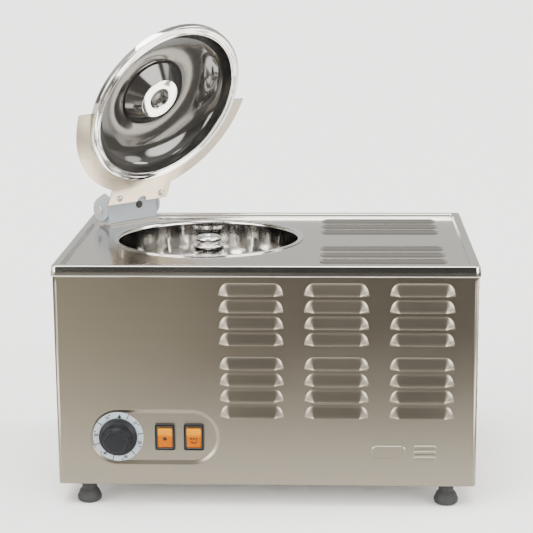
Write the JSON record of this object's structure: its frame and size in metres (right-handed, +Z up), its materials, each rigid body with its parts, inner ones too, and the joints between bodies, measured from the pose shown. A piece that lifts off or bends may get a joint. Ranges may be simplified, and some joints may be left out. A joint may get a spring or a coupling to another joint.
{
  "type": "countertop ice-cream machine with fixed bowl and hinged dome lid",
  "caption": "Countertop batch freezer: louvred stainless case on rubber feet, fixed cold bowl with driven paddle, dome lid on a corner hinge, timer knob and rocker switches.",
  "frame": {"origin": "on the surface the machine stands on, under the middle of its overall box at rest", "axes": "+X to the machine's right as its user faces it, +Y from the control panel to the back, +Z up"},
  "size_m": [0.5168, 0.3944, 0.5733],
  "materials": {
    "case_steel": "satin, fine horizontal brushing",
    "polished_steel": "mirror polished",
    "bright_hardware": "bright machined",
    "plated_steel": "zinc plated, dull",
    "hinge_grey": "fine cast texture, satin grey",
    "black_plastic": "matte, fine grain",
    "dial_grey": "satin printed plate",
    "orange_plastic": "glossy, translucent",
    "rubber": "matte",
    "foam": "rigid foam, matte",
    "copper": "drawn tube, satin",
    "aluminium": "satin",
    "black_paint": "semi-gloss black",
    "bronze": "sintered, matte"
  },
  "bodies": {
    "machine": {"base_pan": "case_steel", "bowl": "polished_steel", "bowl_insulation": "foam", "case_wrap": "case_steel", "compressor": "black_paint", "compressor_plate": "plated_steel", "compressor_terminal_cover": "black_plastic", "condenser_coil": "copper", "condenser_frame": "aluminium", "cooling_switch": "black_plastic", "cord_gland": "black_plastic", "dial_plate": "dial_grey", "discharge_line": "copper", "drive_motor": "aluminium", "evaporator_coil": "copper", "fan_motor": "black_paint", "fan_shroud": "black_paint", "filter_drier": "copper", "foot_back_left": "rubber", "foot_back_right": "rubber", "foot_front_left": "rubber", "foot_front_right": "rubber", "gearbox": "hinge_grey", "grommet_1": "rubber", "grommet_2": "rubber", "grommet_3": "rubber", "grommet_4": "rubber", "hinge_block": "hinge_grey", "hinge_pin": "bright_hardware", "hinge_plate": "case_steel", "hinge_stop": "rubber", "motor_bracket": "plated_steel", "paddle_switch": "black_plastic", "rear_panel": "case_steel", "rear_screw_1": "bright_hardware", "rear_screw_2": "bright_hardware", "rear_screw_3": "bright_hardware", "rear_screw_4": "bright_hardware", "run_capacitor": "aluminium", "shaft_bearing_lower": "bronze", "shaft_bearing_upper": "bronze", "shaft_housing": "polished_steel", "shaft_seal": "rubber", "suction_line": "copper", "terminal_box": "black_plastic", "timer_body": "black_plastic", "top_tray": "case_steel"},
    "lid": {"hinge_leaf": "hinge_grey", "lid_collar": "case_steel", "lid_dome": "polished_steel", "tab_screw_1": "bright_hardware", "tab_screw_2": "bright_hardware"},
    "paddle_shaft": {"drive_shaft": "polished_steel"},
    "paddle": {"paddle": "polished_steel", "paddle_cap": "polished_steel"},
    "timer_knob": {"timer_knob": "black_plastic", "timer_shaft": "bright_hardware"},
    "cooling_rocker": {"cooling_rocker": "orange_plastic"},
    "paddle_rocker": {"paddle_rocker": "orange_plastic"},
    "fan": {"fan_blades": "aluminium"}
  },
  "joints": [
    {"name": "lid_hinge", "type": "hinge", "parent": "machine", "child": "lid", "pos_m": [-0.20471, 0.14611, 0.3183], "axis": [-0.7071, -0.7071, 0], "range_deg": [-64, 0]},
    {"name": "timer_turn", "type": "hinge", "parent": "machine", "child": "timer_knob", "pos_m": [-0.18165, -0.17375, 0.0885], "axis": [0, 1, 0], "range_deg": [0, 300]},
    {"name": "cooling_rocker_tilt", "type": "hinge", "parent": "machine", "child": "cooling_rocker", "pos_m": [-0.12425, -0.16755, 0.0885], "axis": [1, 0, 0], "range_deg": [-16, 0]},
    {"name": "paddle_rocker_tilt", "type": "hinge", "parent": "machine", "child": "paddle_rocker", "pos_m": [-0.08895, -0.16755, 0.0885], "axis": [1, 0, 0], "range_deg": [-16, 0]},
    {"name": "paddle_shaft_spin", "type": "hinge", "parent": "machine", "child": "paddle_shaft", "pos_m": [-0.08365, 0.02505, 0.25], "axis": [0, 0, 1], "continuous": true},
    {"name": "paddle_lift", "type": "slide", "parent": "paddle_shaft", "child": "paddle", "axis": [0, 0, 1], "range_m": [0, 0.09]},
    {"name": "fan_spin", "type": "hinge", "parent": "machine", "child": "fan", "pos_m": [0.18965, 0.00125, 0.165], "axis": [1, 0, 0], "continuous": true}
  ]
}
